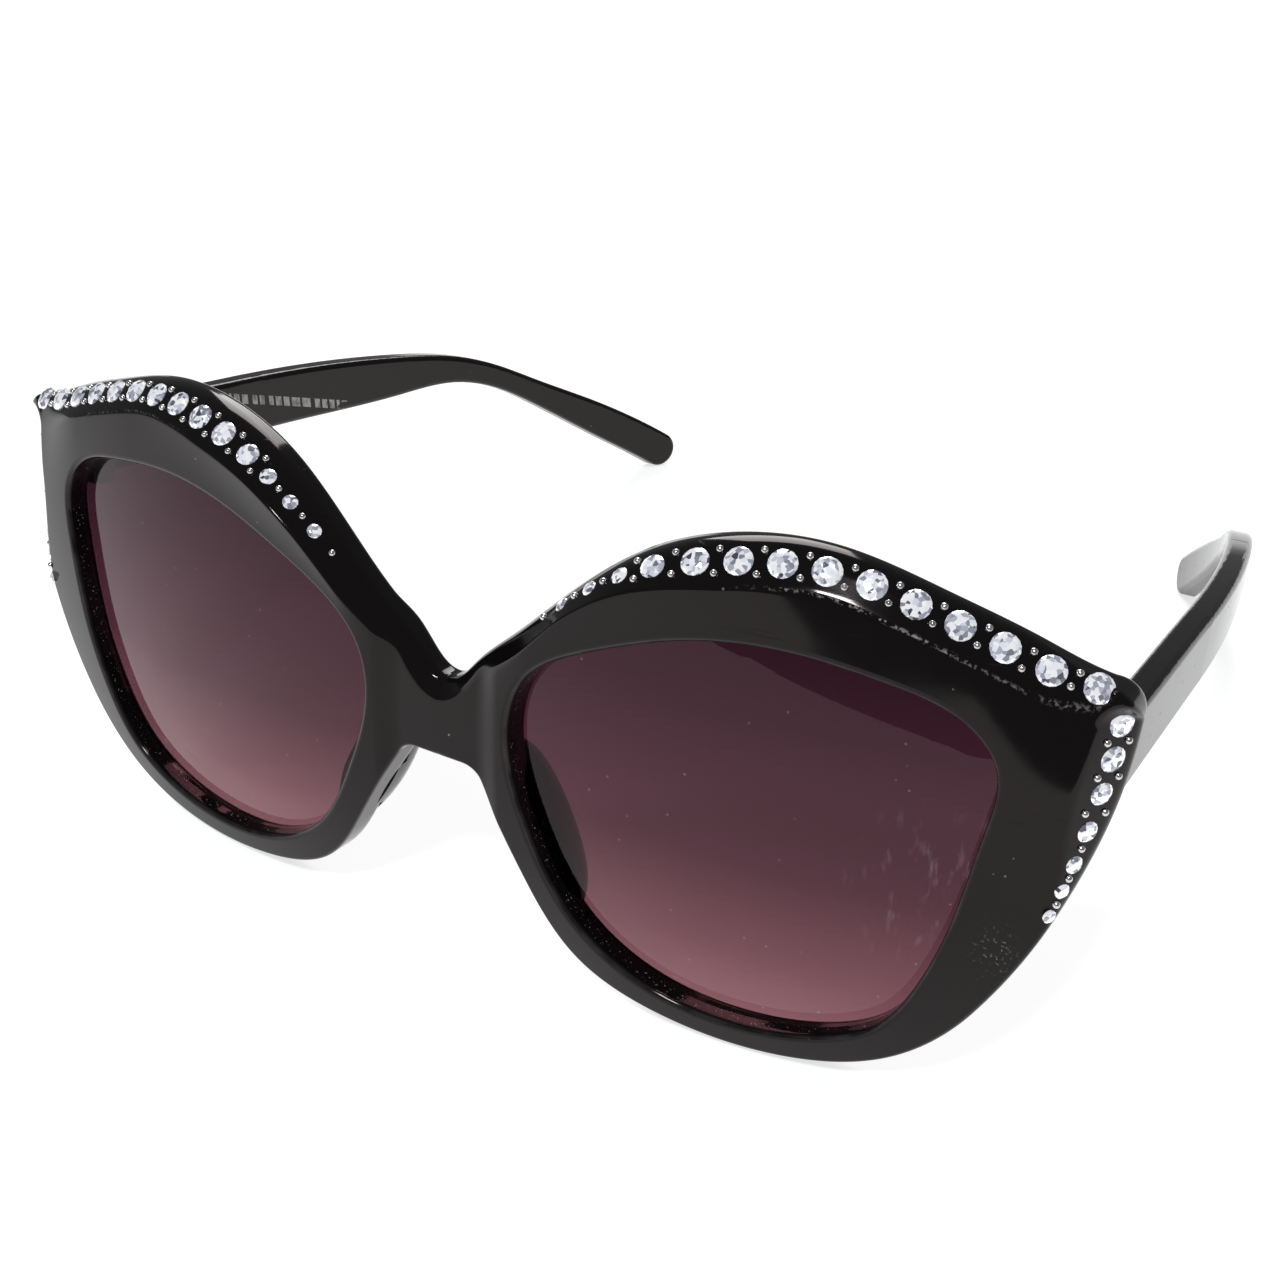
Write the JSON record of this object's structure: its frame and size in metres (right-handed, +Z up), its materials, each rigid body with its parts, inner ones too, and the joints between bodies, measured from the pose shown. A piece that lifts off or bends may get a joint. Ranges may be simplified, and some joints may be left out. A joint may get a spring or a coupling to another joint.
{
  "type": "cat eye sunglasses",
  "caption": "Folding cat eye sunglasses in black acetate, with domed lenses, a crystal-set bevel along the brow and sides, and hinged temples.",
  "frame": {"origin": "bottom centre of the whole box, on the table under the open glasses, midway between their front and the temple tips", "axes": "+X to the wearer's left, -Y the way the lenses face, +Y along the open temples, +Z up; the front leans back 5.9 degrees as it rests on the table"},
  "size_m": [0.159, 0.1568, 0.0658],
  "materials": {
    "frame_acetate": "polished black",
    "temple_acetate": "polished black",
    "pad_acetate": "polished black",
    "tinted_lens": "graduated plum to brown tint",
    "crystal": "faceted clear",
    "silver_bead": "polished silver plate",
    "hinge_steel": "satin steel",
    "screw_steel": "bright steel"
  },
  "bodies": {
    "front": {"front_frame": "frame_acetate", "left_lens": "tinted_lens", "left_nose_pad": "pad_acetate", "left_brow_crystals": "crystal", "left_side_crystals": "crystal", "left_brow_beads": "silver_bead", "left_side_beads": "silver_bead", "left_front_hinge": "hinge_steel", "left_hinge_screw": "screw_steel", "right_lens": "tinted_lens", "right_nose_pad": "pad_acetate", "right_brow_crystals": "crystal", "right_side_crystals": "crystal", "right_brow_beads": "silver_bead", "right_side_beads": "silver_bead", "right_front_hinge": "hinge_steel", "right_hinge_screw": "screw_steel"},
    "left_arm": {"left_temple": "temple_acetate", "left_temple_hinge": "hinge_steel"},
    "right_arm": {"right_temple": "temple_acetate", "right_temple_hinge": "hinge_steel"}
  },
  "joints": [
    {"name": "left_fold", "type": "hinge", "parent": "front", "child": "left_arm", "pos_m": [0.0712, -0.05963, 0.04692], "axis": [0, 0.1035, 0.9946], "range_deg": [0, 82]},
    {"name": "right_fold", "type": "hinge", "parent": "front", "child": "right_arm", "pos_m": [-0.0712, -0.05963, 0.04692], "axis": [0, -0.1035, -0.9946], "range_deg": [0, 76]}
  ]
}
